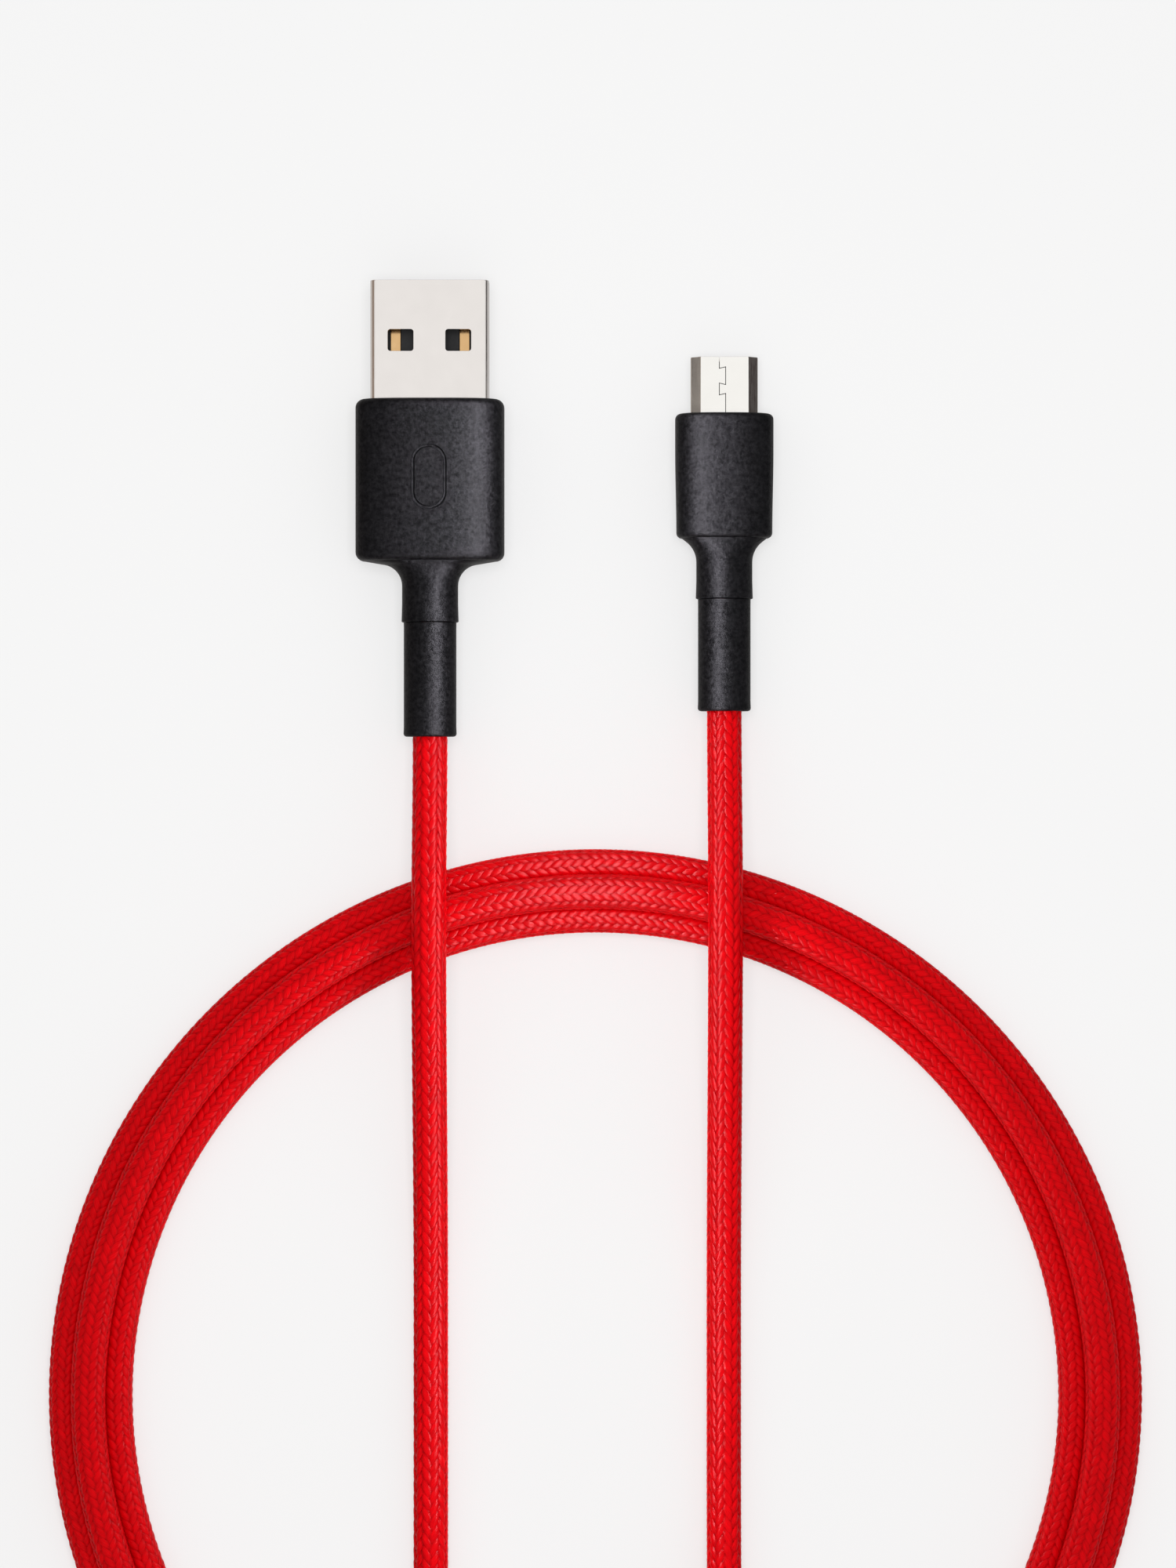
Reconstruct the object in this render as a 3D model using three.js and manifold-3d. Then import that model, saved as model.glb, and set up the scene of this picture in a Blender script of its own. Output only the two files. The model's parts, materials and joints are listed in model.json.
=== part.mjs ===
// A braided charging cable with a USB-A plug on one end and a micro-USB-B plug on the other, lying
// coiled on a table. The cable makes three strands round a ring, and its two leads run side by side
// over the top of the ring to the plugs. Each lead can be lifted where it leaves the ring, each plug
// can be bent sideways in its rubber sleeve, and the micro plug has two spring latches and five
// spring contacts. A cable is one long piece, so it is divided where a joint bends it.
//
// Millimetres, with the table at z = 0 and +Y from the ring towards the plugs. Places are counted
// from the ring's centre until the last lines, which move the origin to the middle of the footprint.
// Inside a plug, y = 0 is the front face of its moulding and y = z = 0 is its axis.
import * as THREE from "three";
import { mergeVertices } from "three/addons/utils/BufferGeometryUtils.js";
import Module from "manifold-3d";

const wasm = await Module();
wasm.setup();

// Cable, from the outside in
const CABLE_RADIUS = 1.8;
const BRAID_BORE = 1.5;
const JACKET_RADIUS = 1.34;
const JACKET_BORE = 1.05;
const WIRE_RADIUS = 0.34;
const WIRE_OFFSET = 0.42; // sideways and up from the cable's axis to a wire's
const CORNER = { vbus: [-1, 1], data_minus: [-1, -1], data_plus: [1, -1], ground: [1, 1] };

// Ring
const RING_RADIUS = 51.5;
const STRAND_PITCH = 2.5; // between neighbouring strands, seen from above
const STRAND_SPACING = 2 * CABLE_RADIUS + 0.06; // between the axes of two strands that touch
const TOP_LIFT = Math.sqrt(STRAND_SPACING ** 2 - STRAND_PITCH ** 2);
const LEAVE_ANGLE = 60; // degrees either side of the ring's right and left ends, at the bottom
const CROSSOVER = 180 - 2 * LEAVE_ANGLE; // degrees in which a strand changes its place
const RING_STEP = 15; // degrees of ring in one straight facet
const BRIDGE_HEIGHT = 5.5; // axis of the micro lead where it crosses the ring and the other lead
const RISE_LENGTH = 27; // of cable, while the micro lead climbs to that height

// Joints
const LIFT_GAP = 1; // between the two cut ends of the cable at a lift joint
const BEND_GAP = 1; // the same at a bend joint, for the whole sleeve

// Mouldings
const NECK_RADIUS = 2.88;
const SLEEVE_RADIUS = 2.7;
const SLEEVE_BORE = 1.9;
const FILLET = 2.2; // between a moulding's body and its neck
const FILLET_INSIDE = 0.3; // how far the fillet reaches into the body's back end
const FIT = 0.1; // clearance between a metal piece and the moulding round it
const SEAM = 0.05; // between two pieces that meet face to face
const EDGE = 0.8; // rounding of a body's front and back edges
const SLOT_MIDDLE = 0.25; // height of the slot for wires and pins in an inner mould
const JACKET_STRIP = 0.5; // from the shield box back to the end of the cable's jacket
const BRAID_STRIP = 1.5; // the same to the end of its braid
const WIRE_START = 0.3; // straight length of a wire in front of the jacket

const USB_A = {
  x: -16.8, z: 4, face: 101.4, liftAt: -8, flatFrom: 10,
  body: { width: 15.1, height: 8, length: 16.3, corner: 2.6 }, neck: 6.3, sleeve: 11.6,
};
const MICRO_B = {
  x: 13.1, z: 3.4, face: 100, liftAt: -6, flatFrom: 10,
  body: { width: 10, height: 6.8, length: 12.4, corner: 2.6 }, neck: 6.4, sleeve: 11.4,
};

const A_SHELL = { width: 12, height: 4.5, wall: 0.3, corner: 0.5, front: 12, back: -6.75 };
const A_WINDOW = { width: 2.6, length: 2.2, x: 2.92, y: 5.9 };
const A_TONGUE = { width: 11.2, floor: -1.9, top: -0.15, front: 11.4, back: -8.4 };
const A_CONTACT = { width: 1, thickness: 0.25, proud: 0.05, front: 10.6, back: -10.6 };
const A_CAN = { width: 11.8, height: 4.6, wall: 0.25, front: -6.95, back: -15.3 };
const A_MOULD = { front: -8.6, back: -14.8, slot: [9.2, 2.4] };
const A_BARREL = { radius: 2.35, bore: 2.1, back: -19 };
const A_PIN_X = { vbus: -3.5, data_minus: -1, data_plus: 1, ground: 3.5 };
const A_SOLDER_Y = -9.4;

const B_SHELL = { width: 6.85, narrow: 4.8, height: 1.8, wall: 0.25, front: 5.8, back: -3.4 };
const B_PLATE = { width: 3.8, floor: 0.22, top: 0.58, front: 5.3, back: 0.1 };
const B_SOCKET = { inset: 0.3, front: 0.2, back: -3.2, slotFloor: -0.34, slotTop: 0.12, latchTop: -0.12 };
const B_CONTACT = { width: 0.32, pitch: 0.65, floor: -0.16, top: -0.04, front: 5, back: -6.2 };
const B_BEND = { start: 1.6, middle: 0.8, floor: -0.3 }; // of a contact spring, back from its front end
const B_LATCH = { x: 2.3, width: 0.7, floor: -0.52, top: -0.38, front: 4.6, back: -3 };
const B_HOOK = { foot: -1.25, back: 1.5, footBack: 1.3, footFront: 0.9, front: 0.2, room: 0.25 };
const LATCH_PLAY = 0.1; // each side of a latch in its slot
const B_CAN = { width: 7.2, height: 3.8, wall: 0.2, front: -3.6, back: -9.9 };
const B_MOULD = { front: -3.9, back: -9.4, slot: [4.2, 1.9] };
const B_BARREL = { radius: 2.3, bore: 2.05, back: -13.2 };
const B_WIRE_X = { vbus: -1.5, data_minus: -0.75, data_plus: 0.05, ground: 1.4 };
const B_SOLDER_Y = -5.4;

const LOOK = {
  braid: { color: 0xd00012, roughness: 0.75, metalness: 0 },
  jacket: { color: 0xe8e4dc, roughness: 0.6, metalness: 0 },
  rubber: { color: 0x262628, roughness: 0.6, metalness: 0 },
  nickel: { color: 0xe2dfdb, roughness: 0.25, metalness: 1 },
  tin: { color: 0xb9b9bb, roughness: 0.4, metalness: 1 },
  gold: { color: 0xd9b25a, roughness: 0.25, metalness: 1 },
  insulator: { color: 0x141416, roughness: 0.5, metalness: 0 },
  mould: { color: 0xe9e7df, roughness: 0.5, metalness: 0 },
  vbus: { color: 0xc8202a, roughness: 0.5, metalness: 0 },
  data_minus: { color: 0xf0f0ee, roughness: 0.5, metalness: 0 },
  data_plus: { color: 0x2a9a46, roughness: 0.5, metalness: 0 },
  ground: { color: 0x1a1a1c, roughness: 0.5, metalness: 0 },
};

const radians = THREE.MathUtils.degToRad;
const ease = (t) => THREE.MathUtils.smoothstep(t, 0, 1);
const mix = THREE.MathUtils.lerp;

// ---- joining and cutting

function solidOf(geometry) {
  geometry.deleteAttribute("normal");
  geometry.deleteAttribute("uv");
  const merged = mergeVertices(geometry, 1e-4);
  const vertProperties = merged.attributes.position.array;
  const triVerts = new Uint32Array(merged.index.array);
  return new wasm.Manifold(new wasm.Mesh({ numProp: 3, vertProperties, triVerts }));
}

function geometryOf(solid) {
  const { vertProperties, triVerts } = solid.getMesh();
  const geometry = new THREE.BufferGeometry();
  geometry.setAttribute("position", new THREE.BufferAttribute(vertProperties, 3));
  geometry.setIndex(new THREE.BufferAttribute(triVerts, 1));
  geometry.computeVertexNormals();
  return geometry;
}

const joined = (first, ...others) => others.reduce((sum, next) => sum.add(next), first);
const cut = (solid, ...tools) => tools.reduce((rest, tool) => rest.subtract(tool), solid);

// ---- basic shapes, lying along Y

function block([x0, x1], [y0, y1], [z0, z1]) {
  const box = new THREE.BoxGeometry(x1 - x0, y1 - y0, z1 - z0);
  return solidOf(box.translate((x0 + x1) / 2, (y0 + y1) / 2, (z0 + z1) / 2));
}

const centred = (width) => [-width / 2, width / 2];

function rod(radius, [back, front], sides = 16) {
  const cylinder = new THREE.CylinderGeometry(radius, radius, front - back, sides);
  return solidOf(cylinder.translate(0, (back + front) / 2, 0));
}

// A section drawn in x and z, drawn out along Y, with its two ends rounded over by `edge`.
function bar(section, [back, front], edge = 0) {
  const geometry = new THREE.ExtrudeGeometry(section, {
    depth: front - back - 2 * edge,
    curveSegments: 4,
    bevelEnabled: edge > 0,
    bevelThickness: edge,
    bevelSize: edge,
    bevelOffset: -edge,
    bevelSegments: 3,
  });
  return solidOf(geometry.rotateX(Math.PI / 2).translate(0, front - edge, 0));
}

// A side view drawn in y and z, drawn out in x.
function sideways(outline, [left, right]) {
  const section = new THREE.Shape(outline.map(([y, z]) => new THREE.Vector2(y, z)));
  const geometry = new THREE.ExtrudeGeometry(section, { depth: right - left, bevelEnabled: false });
  const toX = new THREE.Matrix4().makeBasis(
    new THREE.Vector3(0, 1, 0), new THREE.Vector3(0, 0, 1), new THREE.Vector3(1, 0, 0));
  return solidOf(geometry.applyMatrix4(toX).translate(left, 0, 0));
}

function roundedRectangle(width, height, radius) {
  const [x, z] = [width / 2 - radius, height / 2 - radius];
  const quarter = Math.PI / 2;
  const shape = new THREE.Shape();
  shape.absarc(x, z, radius, 0, quarter);
  shape.absarc(-x, z, radius, quarter, 2 * quarter);
  shape.absarc(-x, -z, radius, 2 * quarter, 3 * quarter);
  shape.absarc(x, -z, radius, 3 * quarter, 4 * quarter);
  return shape;
}

// The micro shell's section: flat and wide below, narrower above, with a 45 degree slope each side.
function slopedSection(inset) {
  const { width, narrow, height } = B_SHELL;
  const [wide, top] = [width / 2 - inset, height / 2 - inset];
  const crest = narrow / 2 - inset * Math.tan(Math.PI / 8);
  const knee = (narrow + height) / 2 - inset * Math.SQRT2 - wide;
  const half = [[wide, -top], [wide, knee], [crest, top]];
  const whole = [...half, ...half.map(([x, z]) => [-x, z]).reverse()];
  return new THREE.Shape(whole.map(([x, z]) => new THREE.Vector2(x, z)));
}

// ---- cable

// A curve made of legs, each with its own formula and its own number of straight facets.
class Route extends THREE.Curve {
  constructor(legs) {
    super();
    this.legs = legs;
    this.facets = legs.reduce((sum, leg) => sum + leg.facets, 0);
  }

  getPoint(t) {
    let along = t * this.facets;
    for (const leg of this.legs) {
      if (along <= leg.facets) return leg.at(along / leg.facets);
      along -= leg.facets;
    }
    return this.legs.at(-1).at(1);
  }

  getUtoTmapping(u) {
    return u; // facets are counted by the legs, not by length
  }
}

const straight = (x, [y0, y1], z, facets = 1) => ({
  facets,
  at: (u) => new THREE.Vector3(x, mix(y0, y1, u), typeof z === "function" ? z(u) : z),
});

function drawnAlong(route, radius, bore, [x, y] = [0, 0], sides = 8) {
  const section = new THREE.Shape().absarc(x, y, radius, 0, 2 * Math.PI);
  if (bore) section.holes.push(new THREE.Path().absarc(x, y, bore, 0, 2 * Math.PI));
  return new THREE.ExtrudeGeometry(section, {
    steps: route.facets, extrudePath: route, curveSegments: sides / 2, bevelEnabled: false,
  });
}

// The circle that leaves the ring's strand at `radius` inwards, at LEAVE_ANGLE, and ends in the lead.
function mergeCircle(x, radius) {
  const lean = Math.cos(radians(LEAVE_ANGLE));
  const bend = (radius * lean + Math.abs(x)) / (1 + lean);
  const side = -Math.sign(x);
  const reach = radius - bend;
  return { x: side * reach * lean, y: -reach * Math.sin(radians(LEAVE_ANGLE)), bend };
}

const circlePoint = (circle, angle, z) => new THREE.Vector3(
  circle.x + circle.bend * Math.cos(radians(angle)),
  circle.y + circle.bend * Math.sin(radians(angle)), z);

// Where the strand is in the bundle, as [outwards, height], while it goes round the ring. It starts
// inside on the table, crosses over to the outside, then rolls over the first strand to the top.
function placeInBundle(angle) {
  const turn = Math.floor((angle + LEAVE_ANGLE) / 360);
  const share = ease((angle - turn * 360 - (360 - LEAVE_ANGLE - CROSSOVER)) / CROSSOVER);
  const crossing = mix(-STRAND_PITCH, STRAND_PITCH, share);
  if (turn === 0) return [crossing, CABLE_RADIUS];
  if (turn === 2) return [0, CABLE_RADIUS + TOP_LIFT];
  const spacing = mix(2 * STRAND_PITCH, STRAND_SPACING, share);
  const lean = share * Math.atan2(TOP_LIFT, -STRAND_PITCH);
  return [crossing + spacing * Math.cos(lean), CABLE_RADIUS + spacing * Math.sin(lean)];
}

const RING_START = -LEAVE_ANGLE;
const RING_END = 720 + 180 + LEAVE_ANGLE;
const riseTo = (length) => (BRIDGE_HEIGHT - CABLE_RADIUS - TOP_LIFT) * ease(length / RISE_LENGTH);

function ringPoint(u) {
  const angle = mix(RING_START, RING_END, u);
  const [outwards, height] = placeInBundle(angle);
  const left = radians(RING_END - angle) * RING_RADIUS;
  const circle = { x: 0, y: 0, bend: RING_RADIUS + outwards };
  return circlePoint(circle, angle, height + riseTo(RISE_LENGTH / 2 - left));
}

function coilRoute() {
  const inward = mergeCircle(USB_A.x, RING_RADIUS - STRAND_PITCH);
  const outward = mergeCircle(MICRO_B.x, RING_RADIUS);
  const turned = 180 - LEAVE_ANGLE;
  const fall = 75; // degrees after which the micro lead starts down again
  const landing = MICRO_B.liftAt - LIFT_GAP / 2;
  const fallLength = radians(turned - fall) * outward.bend + landing - outward.y;
  const fallHeight = (length) => mix(BRIDGE_HEIGHT, CABLE_RADIUS, ease(length / fallLength));
  const outwardHeight = (arc) => Math.min(
    CABLE_RADIUS + TOP_LIFT + riseTo(RISE_LENGTH / 2 + radians(arc) * outward.bend),
    fallHeight(radians(arc - fall) * outward.bend));
  return new Route([
    straight(USB_A.x, [USB_A.liftAt - LIFT_GAP / 2, inward.y], CABLE_RADIUS),
    { facets: 8, at: (u) => circlePoint(inward, 180 + turned * u, CABLE_RADIUS) },
    { facets: (RING_END - RING_START) / RING_STEP, at: ringPoint },
    { facets: 8, at: (u) => circlePoint(outward, turned * (u - 1), outwardHeight(turned * u)) },
    straight(MICRO_B.x, [outward.y, landing], (u) =>
      fallHeight(fallLength - (1 - u) * (landing - outward.y)), 3),
  ]);
}

const sleeveMouth = (plug) => plug.face - plug.body.length - plug.neck - plug.sleeve;
const bendAt = (plug) => sleeveMouth(plug) + plug.sleeve / 2;

// From the lift joint, along the table, over the ring's top strand and down into the sleeve.
function leadRoute(plug) {
  const peak = Math.sqrt(RING_RADIUS ** 2 - plug.x ** 2);
  const height = CABLE_RADIUS + TOP_LIFT + STRAND_SPACING;
  return new Route([
    straight(plug.x, [plug.liftAt + LIFT_GAP / 2, plug.flatFrom], CABLE_RADIUS),
    straight(plug.x, [plug.flatFrom, peak], (u) => mix(CABLE_RADIUS, height, ease(u)), 6),
    straight(plug.x, [peak, sleeveMouth(plug)], (u) => mix(height, plug.z, ease(u)), 6),
    straight(plug.x, [sleeveMouth(plug), bendAt(plug) - BEND_GAP / 2], plug.z),
  ]);
}

// ---- naming and colouring

const nodes = new THREE.Group();

function node(parent, name, look, geometry) {
  const mesh = new THREE.Mesh(geometry, new THREE.MeshStandardMaterial(LOOK[look]));
  mesh.name = name;
  parent.add(mesh);
}

function placed(plug) {
  const group = new THREE.Group();
  group.position.set(plug.x, plug.face, plug.z);
  nodes.add(group);
  return group;
}

function addCable(parent, name, route) {
  node(parent, name + "_braid", "braid", drawnAlong(route, CABLE_RADIUS, BRAID_BORE));
  node(parent, name + "_jacket", "jacket", drawnAlong(route, JACKET_RADIUS, JACKET_BORE, [0, 0], 6));
  for (const [wire, [x, y]] of Object.entries(CORNER)) {
    const centre = [x * WIRE_OFFSET, y * WIRE_OFFSET];
    node(parent, `${name}_${wire}_wire`, wire, drawnAlong(route, WIRE_RADIUS, 0, centre, 4));
  }
}

// ---- parts that both plugs have

function sleeveHalf([back, front]) {
  return geometryOf(cut(rod(SLEEVE_RADIUS, [back, front]), rod(SLEEVE_BORE, [back - 1, front + 1])));
}

function addSleeve(parent, name, plug) {
  const neckEnd = -plug.body.length - plug.neck;
  const mouth = neckEnd - plug.sleeve;
  const bend = mouth + plug.sleeve / 2;
  node(parent, name + "_sleeve_rear", "rubber", sleeveHalf([mouth, bend - BEND_GAP / 2]));
  node(parent, name + "_sleeve_front", "rubber", sleeveHalf([bend + BEND_GAP / 2, neckEnd - SEAM]));
}

// The body, its neck and the fillet between them, with no hollow yet.
function mouldingBody({ body, neck }) {
  const back = -body.length;
  const profile = [new THREE.Vector2(0, back - neck), new THREE.Vector2(NECK_RADIUS, back - neck)];
  const flare = Math.acos(1 - (body.height / 2 - FIT - NECK_RADIUS) / FILLET);
  for (let step = 0; step <= 4; step++) {
    const angle = (flare * step) / 4;
    const [out, up] = [1 - Math.cos(angle), Math.sin(angle) - Math.sin(flare)];
    profile.push(new THREE.Vector2(NECK_RADIUS + FILLET * out, back + FILLET_INSIDE + FILLET * up));
  }
  profile.push(new THREE.Vector2(NECK_RADIUS, back + 1), new THREE.Vector2(0, back + 1));
  const outline = roundedRectangle(body.width, body.height, body.corner);
  return joined(bar(outline, [back, 0], EDGE), solidOf(new THREE.LatheGeometry(profile, 16)));
}

// Folded sheet metal behind the shell, with a barrel that is crimped round the end of the cable.
function rearShield(can, barrel) {
  const inside = can.back + can.wall;
  const box = block(centred(can.width), [can.back, can.front], centred(can.height));
  const hollow = block(
    centred(can.width - 2 * can.wall), [inside, can.front + 1], centred(can.height - 2 * can.wall));
  const tube = rod(barrel.radius, [barrel.back, inside]);
  return geometryOf(cut(joined(box, tube), hollow, rod(barrel.bore, [barrel.back - 1, inside + 1])));
}

// The block moulded round the solder joints, with the slot that the wires and pins lie in.
function innerMould(can, mould) {
  const side = can.wall + SEAM;
  const whole = block(
    centred(can.width - 2 * side), [mould.back, mould.front], centred(can.height - 2 * side));
  const [width, height] = mould.slot;
  const low = SLOT_MIDDLE - height / 2;
  return geometryOf(
    cut(whole, block(centred(width), [mould.back - 1, mould.front + 1], [low, low + height])));
}

// What is cut out of a moulding for the cable, the barrel, the shield box and the shell.
function mouldingHollow({ body, neck }, can, barrel, shellSize) {
  const end = -body.length - neck;
  return joined(
    rod(SLEEVE_BORE, [end - 1, barrel.back]),
    rod(barrel.radius + FIT, [barrel.back - FIT, can.back + can.wall + FIT]),
    block(centred(can.width + 2 * FIT), [can.back - FIT, can.front + FIT], centred(can.height + 2 * FIT)),
    block(centred(shellSize[0] + 2 * FIT), [can.front, 1], centred(shellSize[1] + 2 * FIT)));
}

// One wire from the end of the jacket to its solder joint.
function plugWire(corner, bend, jacketEnd, [x, y, z]) {
  const [startX, startZ] = corner.map((side) => side * WIRE_OFFSET);
  const start = bend + BEND_GAP / 2;
  const spread = jacketEnd + WIRE_START;
  const middle = (spread + y) / 2;
  const curve = new THREE.CubicBezierCurve3(
    new THREE.Vector3(startX, spread, startZ), new THREE.Vector3(startX, middle, startZ),
    new THREE.Vector3(x, middle, z), new THREE.Vector3(x, y, z));
  const along = {
    facets: 1, at: (u) => new THREE.Vector3(startX, mix(start, spread, u), startZ),
  };
  const route = new Route([along, { facets: 5, at: (u) => curve.getPoint(u) }]);
  return drawnAlong(route, WIRE_RADIUS, 0, [0, 0], 4);
}

function addPlugCable(parent, name, plug, barrelFront, solder) {
  const bend = -plug.body.length - plug.neck - plug.sleeve / 2;
  const jacketEnd = barrelFront - JACKET_STRIP;
  const tube = (end, radius, bore, sides) => drawnAlong(
    new Route([straight(0, [bend + BEND_GAP / 2, end], 0)]), radius, bore, [0, 0], sides);
  node(parent, name + "_end_braid", "braid", tube(barrelFront - BRAID_STRIP, CABLE_RADIUS, BRAID_BORE, 8));
  node(parent, name + "_end_jacket", "jacket", tube(jacketEnd, JACKET_RADIUS, JACKET_BORE, 6));
  for (const [wire, corner] of Object.entries(CORNER))
    node(parent, `${name}_end_${wire}_wire`, wire, plugWire(corner, bend, jacketEnd, solder(wire)));
}

// ---- USB-A plug

function aShell() {
  const { width, height, wall, corner, front, back } = A_SHELL;
  const inner = roundedRectangle(width - 2 * wall, height - 2 * wall, corner - wall + 0.05);
  const tube = cut(
    bar(roundedRectangle(width, height, corner), [back, front]), bar(inner, [back - 1, front + 1]));
  const window = (side) => block(
    [side * A_WINDOW.x - A_WINDOW.width / 2, side * A_WINDOW.x + A_WINDOW.width / 2],
    [A_WINDOW.y - A_WINDOW.length / 2, A_WINDOW.y + A_WINDOW.length / 2], [-height, height]);
  return geometryOf(cut(tube, window(-1), window(1)));
}

function contactBar(x, grow) {
  const { width, thickness, proud, front, back } = A_CONTACT;
  const top = A_TONGUE.top + proud;
  const half = width / 2 + grow;
  return block([x - half, x + half], [back, front + grow], [top - thickness - grow, top + grow]);
}

function aTongue() {
  const { width, floor, top, front, back } = A_TONGUE;
  const whole = block(centred(width), [back, front], [floor, top]);
  return geometryOf(cut(whole, ...Object.values(A_PIN_X).map((x) => contactBar(x, SEAM))));
}

function aMoulding() {
  const hollow = mouldingHollow(USB_A, A_CAN, A_BARREL, [A_SHELL.width, A_SHELL.height]);
  return geometryOf(cut(mouldingBody(USB_A), hollow));
}

function addUsbAPlug() {
  const plug = placed(USB_A);
  node(plug, "usb_a_shell", "nickel", aShell());
  node(plug, "usb_a_tongue", "insulator", aTongue());
  for (const [pin, x] of Object.entries(A_PIN_X))
    node(plug, `usb_a_${pin}_contact`, "gold", geometryOf(contactBar(x, 0)));
  node(plug, "usb_a_inner_mould", "mould", innerMould(A_CAN, A_MOULD));
  node(plug, "usb_a_rear_shield", "tin", rearShield(A_CAN, A_BARREL));
  node(plug, "usb_a_moulding", "rubber", aMoulding());
  addSleeve(plug, "usb_a", USB_A);
  const solderHeight = A_TONGUE.top + A_CONTACT.proud + WIRE_RADIUS + SEAM;
  const solder = (wire) => [A_PIN_X[wire], A_SOLDER_Y, solderHeight];
  addPlugCable(plug, "usb_a", USB_A, A_CAN.back, solder);
}

// ---- Micro-USB-B plug

function latchOutline() {
  const { floor, top, front, back } = B_LATCH;
  const foot = B_HOOK.foot;
  return [
    [back, floor], [front - B_HOOK.back, floor], [front - B_HOOK.footBack, foot],
    [front - B_HOOK.footFront, foot], [front - B_HOOK.front, floor], [front, floor],
    [front, top], [back, top],
  ];
}

function latchSlot(side) {
  const half = B_LATCH.width / 2 + LATCH_PLAY;
  const middle = side * B_LATCH.x;
  const hookBack = B_LATCH.front - B_HOOK.back - B_HOOK.room;
  return { x: [middle - half, middle + half], hookY: [hookBack, B_LATCH.front + LATCH_PLAY] };
}

function bShell() {
  const { height, wall, front, back } = B_SHELL;
  const tube = cut(bar(slopedSection(0), [back, front]), bar(slopedSection(wall), [back - 1, front + 1]));
  const window = ({ x, hookY }) => block(x, hookY, [-height, -height / 2 + 2 * wall]);
  return geometryOf(cut(tube, window(latchSlot(-1)), window(latchSlot(1))));
}

// A block at the back that holds the springs, and the plate over the contacts in front of it.
function bInsulator() {
  const { inset, front, back, slotFloor, slotTop, latchTop } = B_SOCKET;
  const plate = block(centred(B_PLATE.width), [B_PLATE.back, B_PLATE.front], [B_PLATE.floor, B_PLATE.top]);
  const ends = [back - 1, front + 1];
  const contactSlot = block(centred(5 * B_CONTACT.pitch), ends, [slotFloor, slotTop]);
  const latchRoom = (side) => block(latchSlot(side).x, ends, [-B_SHELL.height, latchTop]);
  const rear = cut(bar(slopedSection(inset), [back, front]), contactSlot, latchRoom(-1), latchRoom(1));
  return geometryOf(joined(rear, plate));
}

function bContact(index) {
  const { width, pitch, floor, top, front, back } = B_CONTACT;
  const [start, bend] = [front - B_BEND.start, front - B_BEND.middle];
  const outline = [
    [back, floor], [start, floor], [bend, B_BEND.floor], [front, floor],
    [front, top], [bend, B_BEND.floor + top - floor], [start, top], [back, top],
  ];
  const x = index * pitch;
  return geometryOf(sideways(outline, [x - width / 2, x + width / 2]));
}

function bMoulding() {
  const hollow = mouldingHollow(MICRO_B, B_CAN, B_BARREL, [B_SHELL.width, B_SHELL.height]);
  return geometryOf(cut(mouldingBody(MICRO_B), hollow));
}

function addMicroBPlug() {
  const plug = placed(MICRO_B);
  node(plug, "micro_b_shell", "nickel", bShell());
  node(plug, "micro_b_insulator", "insulator", bInsulator());
  ["vbus", "data_minus", "data_plus", "id", "ground"].forEach((pin, place) =>
    node(plug, `micro_b_${pin}_contact`, "gold", bContact(place - 2)));
  for (const [name, side] of [["left", -1], ["right", 1]]) {
    const left = side * B_LATCH.x - B_LATCH.width / 2;
    const spring = sideways(latchOutline(), [left, left + B_LATCH.width]);
    node(plug, `micro_b_${name}_latch`, "tin", geometryOf(spring));
  }
  node(plug, "micro_b_inner_mould", "mould", innerMould(B_CAN, B_MOULD));
  node(plug, "micro_b_rear_shield", "tin", rearShield(B_CAN, B_BARREL));
  node(plug, "micro_b_moulding", "rubber", bMoulding());
  addSleeve(plug, "micro_b", MICRO_B);
  const solder = (wire) => [B_WIRE_X[wire], B_SOLDER_Y, B_CONTACT.top + WIRE_RADIUS + FIT];
  addPlugCable(plug, "micro_b", MICRO_B, B_CAN.back, solder);
}

// ---- the whole cable

addCable(nodes, "coil", coilRoute());
addCable(nodes, "usb_a_lead", leadRoute(USB_A));
addCable(nodes, "micro_b_lead", leadRoute(MICRO_B));
addUsbAPlug();
addMicroBPlug();

const footprint = new THREE.Box3().setFromObject(nodes);
const middle = footprint.getCenter(new THREE.Vector3());
nodes.position.set(-middle.x, -middle.y, -footprint.min.z);

export default nodes;
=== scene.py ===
"""A coiled charging cable with a red braid, a USB-A plug and a micro-USB-B plug.

Shapes are worked out in millimetres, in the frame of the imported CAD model, with the table at z = 0
and +Y from the ring of cable towards the plugs. Meshes are made in metres.
"""

import json
import math

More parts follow.
